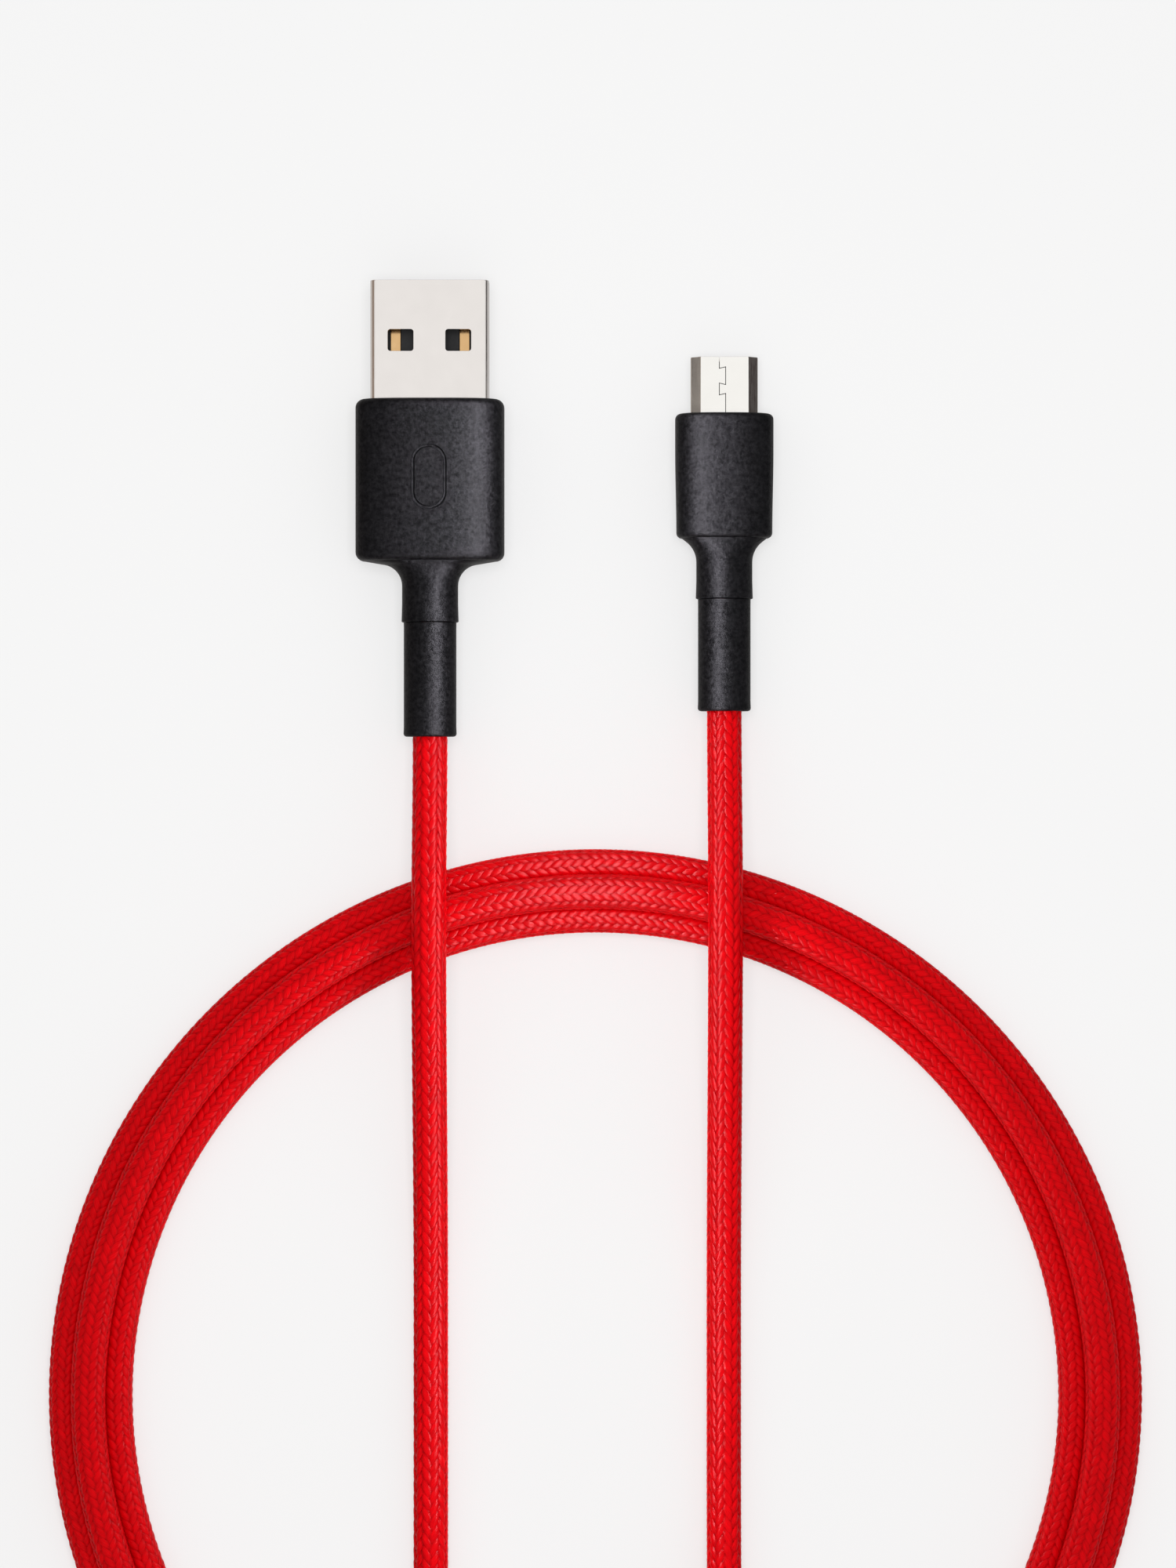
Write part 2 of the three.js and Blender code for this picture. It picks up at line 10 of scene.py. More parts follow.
import bmesh
import bpy
import numpy as np
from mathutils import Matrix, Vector

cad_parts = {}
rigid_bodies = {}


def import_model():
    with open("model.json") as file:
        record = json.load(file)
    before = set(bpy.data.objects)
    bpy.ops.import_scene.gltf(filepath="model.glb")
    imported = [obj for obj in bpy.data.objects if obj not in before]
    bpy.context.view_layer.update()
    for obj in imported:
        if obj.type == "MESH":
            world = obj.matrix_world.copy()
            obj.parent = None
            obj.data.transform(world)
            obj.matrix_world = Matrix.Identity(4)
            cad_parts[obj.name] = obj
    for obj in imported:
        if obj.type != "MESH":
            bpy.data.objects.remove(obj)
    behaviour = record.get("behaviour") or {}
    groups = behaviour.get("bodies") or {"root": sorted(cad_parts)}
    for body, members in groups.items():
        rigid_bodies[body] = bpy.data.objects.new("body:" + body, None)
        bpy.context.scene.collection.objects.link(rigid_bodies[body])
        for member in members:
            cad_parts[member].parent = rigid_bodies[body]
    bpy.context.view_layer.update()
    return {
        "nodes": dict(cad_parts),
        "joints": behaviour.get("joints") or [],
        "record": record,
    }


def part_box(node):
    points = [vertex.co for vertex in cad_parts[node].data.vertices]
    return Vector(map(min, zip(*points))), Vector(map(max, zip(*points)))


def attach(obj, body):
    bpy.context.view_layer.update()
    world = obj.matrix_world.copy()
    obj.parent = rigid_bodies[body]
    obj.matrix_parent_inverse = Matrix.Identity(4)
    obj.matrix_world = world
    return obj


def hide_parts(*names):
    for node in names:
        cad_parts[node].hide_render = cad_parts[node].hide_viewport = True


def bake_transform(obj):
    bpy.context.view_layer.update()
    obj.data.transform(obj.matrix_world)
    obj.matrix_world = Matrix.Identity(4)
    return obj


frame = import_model()

MM = 0.001


def box_mm(node):
    """The lowest and highest corner of a CAD node, in millimetres."""
    low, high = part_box(node)
    return np.array(low) / MM, np.array(high) / MM


def joint_mm(name):
    """Where a CAD joint is, in millimetres."""
    joint = next(j for j in frame["joints"] if j["name"] == name)
    return np.array(joint["pos_m"]) / MM


# ---- driving sizes

LIFT_A = joint_mm("usb_a_lead_lift")
LIFT_B = joint_mm("micro_b_lead_lift")
CABLE_RADIUS = LIFT_A[2]  # the lead lies on the table at its hinge
STRAND_PITCH = 2.5  # between neighbouring strands of the ring, seen from above
STRAND_SPACING = 2 * CABLE_RADIUS + 0.06  # between two strands that touch
TOP_LIFT = math.sqrt(STRAND_SPACING**2 - STRAND_PITCH**2)
RING_RADIUS = box_mm("coil_braid")[1][0] - STRAND_PITCH - CABLE_RADIUS
RING_CENTRE = np.array([0.0, LIFT_A[1] + 8, 0.0])
LEAVE_ANGLE = 60  # degrees either side of the ring's right and left ends, at the bottom
CROSSOVER = 60  # degrees in which a strand changes its place
BRIDGE_HEIGHT = 5.5  # of the micro lead where it crosses the ring and the other lead
RISE_LENGTH = 27  # of cable, while the micro lead climbs to that height
FALL_AFTER = 75  # degrees of its last bend after which it comes down again
HINGE_REACH = 11  # of a lead's own piece on the ring's side of its hinge
INTO_SLEEVE = 1.8  # of braid inside the sleeve's mouth

# Braid: 12 yarns each way, each over two and under two of the others
YARNS = 12
LEAD_LAY = 16.2  # of cable, for one turn of a yarn in the leads
RING_LAY = 12.4  # the same in the ring, where the braid is packed closer
LAY_CHANGE = 60  # of cable, between the two
YARN_FILL = 1.1  # a yarn's width, as a share of the room that it has
YARN_CROWN = 0.07  # from a yarn's middle surface to its top
YARN_WAVE = 0.1  # how far a yarn goes out and in
YARN_MIDDLE = CABLE_RADIUS - YARN_CROWN - YARN_WAVE
YARN_STEP = 0.27  # of cable, between two cross-sections of a yarn
CORE_RADIUS = YARN_MIDDLE - YARN_WAVE - 0.02

# Mouldings
NECK_RADIUS = 2.85
NECK_FLARE = 0.05  # added to the neck's radius at the sleeve
NECK_EDGE = 0.12  # taken off the neck's rear edge
BODY_BACK = {"usb_a": -16.7, "micro_b": -12.45}  # from the face to where the body meets the neck
CAN_BACK = 0.5  # from the inner mould to the back of the can round it
BARREL_ROOM = 2.42  # radius of the room for the barrel behind the can
CABLE_ROOM = 1.9  # radius of the room for the cable behind that
SHELL_GAP = 0.05
PILL_RADIUS = 1.62  # of the mark on the USB-A moulding
PILL_STRAIGHT = 1.5  # half the length of its straight sides
PILL_Y = -8.0  # its middle, from the face
PILL_GROOVE = 0.19
SLEEVE_EDGE = 0.3

# Shells
USB_A_WALL = 0.3
USB_A_CORNER = 0.85
WINDOW = 2.6, 2.2  # its size
WINDOW_CORNER = 0.28
WINDOW_PLACE = 2.92, 5.9  # its middle, from the shell's axis and from the moulding's face
MICRO_B_WALL = 0.25
MICRO_B_CORNER = 0.22
MICRO_B_WIDE, MICRO_B_NARROW, MICRO_B_HEIGHT = 6.85, 4.8, 1.8
SEAM_WIDTH = 0.07
SHEET_EDGE = 0.08  # rounding of a sheet's cut end

# Sky, where 1 is white: as polished metal sees it, as a light on matt surfaces, and as the camera
# sees it, which is the same as the far floor
GLOSS_LEVEL = 1.0
DIFFUSE_LEVEL = 0.6
BACKDROP_LEVEL = 0.74
HORIZON_LEFT = 150, 134, 122
HORIZON_RIGHT = 50, 42, 40
HORIZON_TOP, SKY_BOTTOM = 0.22, 0.45  # as sines of the height above the horizon
SKY_LEAN = 0.15  # how much lower the sky comes on the right
GROUND_TOP, GROUND_BOTTOM = -0.12, -0.4
GROUND_LEVEL = 0.55

# Floor and lamps
FLOOR_COLOUR = 0.35
FLOOR_GLOW = 0.56
STRIP_X, STRIP_Y = -0.6, 35
STRIP_SIZE = 8, 150
STRIP_COLOUR = 1.0, 0.97, 1.06


def ease(t):
    t = np.clip(t, 0, 1)
    return t * t * (3 - 2 * t)


def mix(a, b, t):
    return a + (b - a) * t


class Plug:
    """What the CAD nodes of one plug measure."""

    def __init__(self, name):
        self.name = name
        low, high = box_mm(name + "_moulding")
        self.x, _, self.z = (low + high) / 2
        self.half_width, _, self.half_height = (high - low) / 2
        self.neck_end, self.face = low[1], high[1]
        sleeve_low, sleeve_high = box_mm(name + "_sleeve_rear")
        self.mouth = sleeve_low[1]
        self.sleeve_radius = (sleeve_high[0] - sleeve_low[0]) / 2


USB_A = Plug("usb_a")
MICRO_B = Plug("micro_b")


# ---- meshes


def link(obj):
    bpy.context.scene.collection.objects.link(obj)
    return obj


def make_mesh(name, points, face_arrays):
    """A mesh from points in millimetres and arrays of faces, one array for each number of corners."""
    mesh = bpy.data.meshes.new(name)
    corners = np.concatenate([faces.ravel() for faces in face_arrays])
    sizes = np.concatenate([np.full(len(faces), faces.shape[1]) for faces in face_arrays])
    starts = np.concatenate([[0], np.cumsum(sizes)[:-1]])
    mesh.vertices.add(len(points))
    mesh.vertices.foreach_set("co", (points * MM).astype(np.float32).ravel())
    mesh.loops.add(len(corners))
    mesh.loops.foreach_set("vertex_index", corners.astype(np.int32))
    mesh.polygons.add(len(sizes))
    mesh.polygons.foreach_set("loop_start", starts.astype(np.int32))
    mesh.update(calc_edges=True)
    return mesh


def grid_faces(rows, columns, wrap_rows=False):
    """Quads over a grid of points that closes on itself along each row."""
    row = np.arange(rows if wrap_rows else rows - 1)[:, None]
    column = np.arange(columns)[None, :]
    next_row = (row + 1) % rows
    next_column = (column + 1) % columns
    quads = np.stack([
        row * columns + column, row * columns + next_column,
        next_row * columns + next_column, next_row * columns + column,
    ], axis=-1)
    return quads.reshape(-1, 4)


def skin_faces(rows, columns):
    """Quads over rows of points that are rings, and a cap on the first ring and on the last."""
    cap = np.arange(columns)[None, :]
    return grid_faces(rows, columns), np.concatenate([cap[:, ::-1], cap + (rows - 1) * columns])


def faces_out(mesh):
    work = bmesh.new()
    work.from_mesh(mesh)
    bmesh.ops.recalc_face_normals(work, faces=work.faces)
    work.to_mesh(mesh)
    work.free()


def smooth(mesh, sharp_angle):
    mesh.polygons.foreach_set("use_smooth", np.ones(len(mesh.polygons), bool))
    mesh.set_sharp_from_angle(angle=math.radians(sharp_angle))


def make_object(name, mesh, material=None, sharp_angle=40):
    smooth(mesh, sharp_angle)
    obj = link(bpy.data.objects.new(name, mesh))
    if material:
        mesh.materials.append(material)
    return obj


def loft(name, rings, closed=False, material=None, sharp_angle=40):
    """A skin over rings of points. It is capped at both ends, or closed back onto its first ring."""
    count, around = rings.shape[:2]
    faces = [grid_faces(count, around, wrap_rows=True)] if closed else skin_faces(count, around)
    mesh = make_mesh(name, rings.reshape(-1, 3), faces)
    faces_out(mesh)
    return make_object(name, mesh, material, sharp_angle)


def apply_modifiers(obj):
    depsgraph = bpy.context.evaluated_depsgraph_get()
    mesh = bpy.data.meshes.new_from_object(obj.evaluated_get(depsgraph))
    obj.modifiers.clear()
    obj.data = mesh


def cut(obj, *tools):
    """Takes the tools' shapes out of obj, and removes the tools."""
    for tool in tools:
        modifier = obj.modifiers.new("cut", "BOOLEAN")
        modifier.operation = "DIFFERENCE"
        modifier.solver = "EXACT"
        modifier.use_self = True
        modifier.object = tool
        apply_modifiers(obj)
        bpy.data.objects.remove(tool)


def bevel(obj, width, angle=35, weld=False):
    """Rounds the edges. A CAD node's faces are loose, so a modifier joins them first. Its mesh stays."""
    if weld:
        obj.modifiers.new("weld", "WELD").merge_threshold = 0.001 * MM
    modifier = obj.modifiers.new("edges", "BEVEL")
    modifier.width = width * MM
    modifier.segments = 2
    modifier.limit_method = "ANGLE"
    modifier.angle_limit = math.radians(angle)
    modifier.harden_normals = True


def even_normals(obj):
    """Shades each flat face as flat, and only the narrow faces between them as round."""
    modifier = obj.modifiers.new("normals", "WEIGHTED_NORMAL")
    modifier.weight = 100
    modifier.keep_sharp = True


def block(low, high):
    """A plain box, as a tool for cutting."""
    corners = np.array([[x, y, z] for y in (low[1], high[1]) for x, z in (
        (low[0], low[2]), (high[0], low[2]), (high[0], high[2]), (low[0], high[2]))])
    return loft("tool", corners.reshape(2, 4, 3))


# ---- outlines, as points in x and z round a plug's axis


def superellipse(half_width, half_height, exponent, count=96):
    angle = np.arange(count) * 2 * math.pi / count
    power = 2 / exponent
    x = half_width * np.sign(np.cos(angle)) * np.abs(np.cos(angle)) ** power
    z = half_height * np.sign(np.sin(angle)) * np.abs(np.sin(angle)) ** power
    return np.stack([x, z], axis=-1)


def rounded_polygon(corners, radius, steps=6):
    """The outline through the corners, counter-clockwise, with each corner rounded."""
    corners = np.array(corners, float)
    points = []
    for before, corner, after in zip(np.roll(corners, 1, 0), corners, np.roll(corners, -1, 0)):
        to_before = (before - corner) / np.linalg.norm(before - corner)
        to_after = (after - corner) / np.linalg.norm(after - corner)
        half_angle = math.acos(np.clip(to_before @ to_after, -1, 1)) / 2
        middle = (to_before + to_after) / np.linalg.norm(to_before + to_after)
        centre = corner + middle * radius / math.sin(half_angle)
        start = corner + to_before * radius / math.tan(half_angle) - centre
        turn = math.pi - 2 * half_angle
        for step in range(steps + 1):
            angle = turn * step / steps
            cos, sin = math.cos(angle), math.sin(angle)
            points.append(centre + [cos * start[0] - sin * start[1], sin * start[0] + cos * start[1]])
    return np.array(points)


def rectangle(width, height):
    x, z = width / 2, height / 2
    return [[-x, -z], [x, -z], [x, z], [-x, z]]


def circle(radius, count=64):
    return superellipse(radius, radius, 2, count)


def placed(outline, y, plug):
    """An outline's points in the model's frame, at a distance y in front of a plug's face."""
    ring = np.empty((len(outline), 3))
    ring[:, 0] = outline[:, 0] + plug.x
    ring[:, 1] = plug.face + y
    ring[:, 2] = outline[:, 1] + plug.z
    return ring


# ---- the cable's path


def straight(x, y0, y1, height, step=0.25):
    """Points along Y at x, where height(share) gives z."""
    share = np.linspace(0, 1, max(2, int(abs(y1 - y0) / step)))
    z = height(share) if callable(height) else np.full(len(share), height)
    return np.stack([np.full(len(share), x), mix(y0, y1, share), z], axis=-1)


def lead_points(plug, lift):
    """From the lift joint, along the table, over the ring and into the sleeve."""
    start = lift[1] - RING_CENTRE[1]
    flat_to = 10.0
    peak = math.sqrt(RING_RADIUS**2 - plug.x**2)
    mouth = plug.mouth - RING_CENTRE[1]
    top = CABLE_RADIUS + TOP_LIFT + STRAND_SPACING
    return np.concatenate([
        straight(plug.x, start, flat_to, CABLE_RADIUS),
        straight(plug.x, flat_to, peak, lambda u: mix(CABLE_RADIUS, top, ease(u))),
        straight(plug.x, peak, mouth, lambda u: mix(top, plug.z, ease(u))),
        straight(plug.x, mouth, mouth + INTO_SLEEVE, plug.z),
    ])


def merge_circle(x, radius):
    """Centre x, centre y and radius of the bend that joins a lead to the ring's strand at that radius."""
    lean = math.cos(math.radians(LEAVE_ANGLE))
    bend = (radius * lean + abs(x)) / (1 + lean)
    reach = radius - bend
    return -np.sign(x) * reach * lean, -reach * math.sin(math.radians(LEAVE_ANGLE)), bend


def arc(centre_x, centre_y, radius, angles, height):
    angles = np.radians(angles)
    x = centre_x + radius * np.cos(angles)
    y = centre_y + radius * np.sin(angles)
    return np.stack([x, y, np.broadcast_to(height, x.shape)], axis=-1)


def place_in_bundle(angle):
    """How far out from the ring's middle line the strand is, and its height, at an angle along it."""
    turn = np.floor((angle + LEAVE_ANGLE) / 360)
    share = ease((angle - turn * 360 - (360 - LEAVE_ANGLE - CROSSOVER)) / CROSSOVER)
    crossing = mix(-STRAND_PITCH, STRAND_PITCH, share)
    spacing = mix(2 * STRAND_PITCH, STRAND_SPACING, share)
    lean = share * math.atan2(TOP_LIFT, -STRAND_PITCH)
    outwards = [crossing, crossing + spacing * np.cos(lean), 0 * angle]
    height = [0 * angle, spacing * np.sin(lean), 0 * angle + TOP_LIFT]
    which = turn.astype(int)
    return np.choose(which, outwards), CABLE_RADIUS + np.choose(which, height)


def rise(length):
    return (BRIDGE_HEIGHT - CABLE_RADIUS - TOP_LIFT) * ease(length / RISE_LENGTH)


def ring_points():
    end = 2 * 360 + 180 + LEAVE_ANGLE
    angle = np.linspace(-LEAVE_ANGLE, end, 4000)
    outwards, height = place_in_bundle(angle)
    left = np.radians(end - angle) * RING_RADIUS
    return arc(0, 0, RING_RADIUS + outwards, angle, height + rise(RISE_LENGTH / 2 - left))


def coil_points():
    """From the USB-A lead's hinge, round the ring, to the micro lead's hinge."""
    turned = 180 - LEAVE_ANGLE
    in_x, in_y, in_bend = merge_circle(USB_A.x, RING_RADIUS - STRAND_PITCH)
    out_x, out_y, out_bend = merge_circle(MICRO_B.x, RING_RADIUS)
    start = LIFT_A[1] - RING_CENTRE[1]
    landing = LIFT_B[1] - RING_CENTRE[1]
    fall_length = math.radians(turned - FALL_AFTER) * out_bend + landing - out_y

    def fall(length):
        return mix(BRIDGE_HEIGHT, CABLE_RADIUS, ease(length / fall_length))

    swept = np.linspace(0, turned, 240)
    climb = CABLE_RADIUS + TOP_LIFT + rise(RISE_LENGTH / 2 + np.radians(swept) * out_bend)
    height = np.minimum(climb, fall(np.radians(swept - FALL_AFTER) * out_bend))
    return np.concatenate([
        straight(USB_A.x, start, in_y, CABLE_RADIUS),
        arc(in_x, in_y, in_bend, 180 + swept, CABLE_RADIUS),
        ring_points(),
        arc(out_x, out_y, out_bend, swept - turned, height),
        straight(MICRO_B.x, out_y, landing, lambda u: fall(fall_length - (1 - u) * (landing - out_y))),
    ])


class Path:
    """A smooth path with its length and a pair of side directions that don't twist round it."""

    def __init__(self, points, step=0.25, soften=9):
        moved = np.linalg.norm(np.diff(points, axis=0), axis=1)
        points = points[np.concatenate([[True], moved > 1e-6])]
        length = self.measure(points)
        even = np.linspace(0, length[-1], int(length[-1] / step))
        points = np.stack([np.interp(even, length, points[:, k]) for k in range(3)], axis=-1)
        padded = np.pad(points, ((soften, soften), (0, 0)), "reflect", reflect_type="odd")
        window = np.hanning(2 * soften + 3)[1:-1]
        window /= window.sum()
        self.points = np.stack([np.convolve(padded[:, k], window, "valid") for k in range(3)], axis=-1)
        self.length = self.measure(self.points)
        self.along = np.gradient(self.points, self.length, axis=0)
        self.along /= np.linalg.norm(self.along, axis=1)[:, None]
        self.side = self.untwisted_sides()
        self.up = np.cross(self.along, self.side)

    @staticmethod
    def measure(points):
        return np.concatenate([[0], np.cumsum(np.linalg.norm(np.diff(points, axis=0), axis=1))])

    def untwisted_sides(self):
        sides = np.empty_like(self.points)
        side = np.cross([0.0, 0.0, 1.0], self.along[0])
        for index, along in enumerate(self.along):
            side = side - along * (side @ along)
            side /= np.linalg.norm(side)
            sides[index] = side
        return sides

    def set_lay(self, start, end):
        """Counts a yarn's turns along the path, where the ring goes from start to end."""
        ring = ease((self.length - start) / LAY_CHANGE) * ease((end - self.length) / LAY_CHANGE)
        self.lay = mix(LEAD_LAY, RING_LAY, ring)
        self.turns = np.cumsum(np.gradient(self.length) / self.lay)

    def at(self, s, radius, angle):
        """Points at a length s along the path, a radius from it and an angle round it."""
        def read(values):
            return np.stack([np.interp(s, self.length, values[:, k]) for k in range(3)], axis=-1)
        outward = read(self.side) * np.cos(angle)[..., None] + read(self.up) * np.sin(angle)[..., None]
        return read(self.points) + outward * np.asarray(radius)[..., None]


def cable_path():
    """The whole cable, from inside one sleeve to inside the other."""
    return Path(RING_CENTRE + np.concatenate([
        lead_points(USB_A, LIFT_A)[::-1], coil_points(), lead_points(MICRO_B, LIFT_B),
    ]))


# ---- materials


def feed(tree, socket, value):
    """Sets a socket to a plain value, or links it to another node's output."""
    if isinstance(value, bpy.types.NodeSocket):
        tree.links.new(value, socket)
    else:
        socket.default_value = value


def add(tree, kind, inputs=None, **settings):
    """A shader node with its settings and its inputs, which are values or other nodes' outputs."""
    node = tree.nodes.new("ShaderNode" + kind)
    for key, value in settings.items():
        setattr(node, key, value)
    for key, value in (inputs or {}).items():
        feed(tree, node.inputs[key], value)
    return node


def start_material(name):
    material = bpy.data.materials.new(name)
    material.use_nodes = True
    tree = material.node_tree
    return material, tree, tree.nodes["Principled BSDF"]


def srgb(red, green, blue):
    """A colour given as 0 to 255 sRGB levels."""
    level = np.array([red, green, blue]) / 255
    linear = np.where(level <= 0.04045, level / 12.92, ((level + 0.055) / 1.055) ** 2.4)
    return (*linear.tolist(), 1.0)


def object_place(tree, stretch=(1, 1, 1)):
    """Object coordinates in millimetres, stretched so that a pattern is longer one way."""
    place = add(tree, "TexCoord").outputs["Object"]
    scale = [1 / MM / each for each in stretch]
    return add(tree, "Mapping", {"Vector": place, "Scale": scale}).outputs["Vector"]


def noise(tree, vector, scale, detail=2.0, roughness=0.5):
    inputs = {"Vector": vector, "Scale": scale, "Detail": detail, "Roughness": roughness}
    return add(tree, "TexNoise", inputs).outputs["Fac"]


def math_node(tree, operation, *values, clamp=False):
    return add(tree, "Math", dict(enumerate(values)), operation=operation, use_clamp=clamp).outputs[0]


def ranged(tree, value, low, high, to_low, to_high):
    inputs = {"Value": value, "From Min": low, "From Max": high, "To Min": to_low, "To Max": to_high}
    return add(tree, "MapRange", inputs).outputs["Result"]


def blended(tree, share, first, second):
    """A mix of two colours. A Mix node's colour sockets come after its sockets for other types."""
    return add(tree, "Mix", {0: share, 6: first, 7: second}, data_type="RGBA").outputs[2]


def bumped(tree, height, distance, strength):
    inputs = {"Height": height, "Distance": distance * MM, "Strength": strength}
    return add(tree, "Bump", inputs).outputs["Normal"]


def connect(tree, shader, **sockets):
    for name, value in sockets.items():
        feed(tree, shader.inputs[name.replace("_", " ")], value)


def yarn_material():
    """Red polyester yarn: fine filaments along it, with painted shade where it dips under its neighbours and
    towards its edges.
    """
    material, tree, shader = start_material("red_braid_yarn")
    across = add(tree, "Attribute", attribute_name="across").outputs["Fac"]
    along = add(tree, "Attribute", attribute_name="along").outputs["Fac"]
    crown = add(tree, "Attribute", attribute_name="crown").outputs["Fac"]
    fibre = add(tree, "CombineXYZ", {"X": across, "Y": along}).outputs["Vector"]
    stretched = add(tree, "Mapping", {"Vector": fibre, "Scale": (7.0, 0.5, 1.0)}).outputs["Vector"]
    filaments = noise(tree, stretched, 1.0, detail=2.0, roughness=0.6)
    mottle = noise(tree, object_place(tree), 0.9, detail=3.0)
    # Painted shade: where the crown attribute is low, the yarn turns towards the darker red below. That is
    # where it dips under its neighbours and at its edges.
    raised = ranged(tree, crown, 0.25, 0.9, 0.0, 1.0)
    lit = math_node(tree, "MULTIPLY", raised, ranged(tree, filaments, 0.25, 0.75, 0.55, 1.15), clamp=True)
    # The mottle is the yarn's own uneven tone, laid over the painted shade.
    shade_and_mottle = math_node(tree, "MULTIPLY", lit, ranged(tree, mottle, 0.3, 0.7, 0.8, 1.1), clamp=True)
    colour = blended(tree, shade_and_mottle, srgb(118, 0, 3), srgb(212, 2, 11))
    connect(
        tree, shader, Base_Color=colour, Roughness=ranged(tree, filaments, 0.3, 0.7, 0.22, 0.32),
        Specular_IOR_Level=0.05, Normal=bumped(tree, filaments, 0.025, 0.6),
    )
    return material


def core_material():
    """The dark red jacket that shows between the yarns."""
    material, tree, shader = start_material("red_core")
    grain = noise(tree, object_place(tree), 2.0)
    connect(tree, shader, Base_Color=blended(tree, grain, srgb(84, 0, 4), srgb(110, 2, 8)), Roughness=0.8)
    return material


def rubber_material():
    """Black moulded rubber with a fine grain."""
    material, tree, shader = start_material("black_rubber_grain")
    place = object_place(tree)
    grain = noise(tree, place, 2.4, detail=5.0, roughness=0.65)
    cloudy = noise(tree, place, 0.35)
    shade = math_node(tree, "MULTIPLY", ranged(tree, grain, 0.3, 0.7, 0.4, 1.0), cloudy)
    connect(
        tree, shader, Base_Color=blended(tree, shade, srgb(4, 4, 5), srgb(26, 25, 28)),
        Roughness=ranged(tree, grain, 0.3, 0.7, 0.38, 0.5),
        Specular_IOR_Level=ranged(tree, grain, 0.35, 0.65, 0.035, 0.1),
        Normal=bumped(tree, grain, 0.08, 0.7),
    )
    return material


def metal_material(name, light, dark, roughness):
    """Plated metal with fine rolling marks along the plug and slightly uneven plating."""
    material, tree, shader = start_material(name)
    marks = noise(tree, object_place(tree, stretch=(1, 12, 1)), 9.0, detail=4.0)
    cloudy = noise(tree, object_place(tree), 0.5)
    connect(
        tree, shader, Base_Color=blended(tree, cloudy, dark, light), Metallic=1.0,
        Roughness=ranged(tree, marks, 0.3, 0.7, roughness * 0.8, roughness * 1.25),
        Normal=bumped(tree, marks, 0.002, 0.5),
    )
    return material


def plastic_material(name, light, dark, roughness):
    """Moulded plastic with faint cloudiness and a fine satin grain."""
    material, tree, shader = start_material(name)
    place = object_place(tree)
    grain = noise(tree, place, 6.0, detail=3.0)
    cloudy = noise(tree, place, 0.7)
    connect(
        tree, shader, Base_Color=blended(tree, cloudy, dark, light),
        Roughness=ranged(tree, grain, 0.3, 0.7, roughness * 0.85, roughness * 1.15),
        Normal=bumped(tree, grain, 0.01, 0.4),
    )
    return material


def make_materials():
    """One material for each of the record's material slots, and a brighter plate for one shell."""
    return {
        "red_braid": yarn_material(),
        "inner_jacket": core_material(),
        "black_rubber": rubber_material(),
        "plated_steel": metal_material("nickel_plate", srgb(235, 230, 226), srgb(229, 224, 220), 0.2),
        "bright_steel": metal_material("bright_nickel_plate", srgb(247, 245, 240), srgb(242, 240, 235), 0.18),
        "tinned_steel": metal_material("tinned_sheet", srgb(212, 212, 214), srgb(190, 190, 193), 0.32),
        "gold_plate": metal_material("gold_plate_finish", srgb(230, 194, 144), srgb(206, 162, 108), 0.16),
        "black_plastic": plastic_material("black_insulator", srgb(30, 30, 32), srgb(18, 18, 20), 0.45),
        "white_plastic": plastic_material("white_inner_mould", srgb(236, 234, 226), srgb(220, 217, 206), 0.5),
        "red_insulation": plastic_material("red_wire", srgb(205, 34, 44), srgb(180, 22, 32), 0.4),
        "white_insulation": plastic_material("white_wire", srgb(240, 240, 238), srgb(224, 224, 220), 0.4),
        "green_insulation": plastic_material("green_wire", srgb(40, 150, 66), srgb(28, 126, 52), 0.4),
        "black_insulation": plastic_material("black_wire", srgb(28, 28, 30), srgb(16, 16, 18), 0.4),
    }


MATERIALS = make_materials()


# ---- cable


def wave(angle):
    """How far out a right-hand yarn is, from -1 to 1, at an angle round the cable."""
    swing = np.sin(angle * YARNS / 2)
    return swing * (1.5 - 0.5 * swing**2)


# One yarn's section, from edge to edge: across, and up from its middle surface
YARN_SECTION = np.array([[-1, -0.5], [-0.66, 0.5], [0, 1], [0.66, 0.5], [1, -0.5]])


def yarn_points(path, start, end, hand, first_angle):
    """One yarn between two lengths of the path, as a grid of points, with its three attributes."""
    count = max(2, int(round((end - start) / YARN_STEP)) + 1)
    s = np.linspace(start, end, count)[:, None]
    across, up = YARN_SECTION.T[:, None, :]
    lay = np.interp(s, path.length, path.lay)
    slope = np.arctan(2 * math.pi * YARN_MIDDLE / lay)
    sideways = across * YARN_FILL * lay / YARNS * np.sin(slope) / 2
    middle = first_angle + hand * 2 * math.pi * np.interp(s, path.length, path.turns)
    angle = middle + sideways * np.cos(slope) / YARN_MIDDLE
    height = hand * wave(mix(middle, angle, 0.5))
    radius = YARN_MIDDLE + YARN_WAVE * height + YARN_CROWN * up
    points = path.at(s - hand * sideways * np.sin(slope), radius, angle)
    full = np.broadcast_to
    attributes = {
        "across": full(across, radius.shape),
        "along": full(s * 1.2, radius.shape) + first_angle * 40 + hand * 7,
        # How far over its neighbours and how near its top a point is. The yarn material paints shade from it.
        "crown": 0.5 + 0.32 * height + 0.18 * full(up, radius.shape),
    }
    return points, attributes


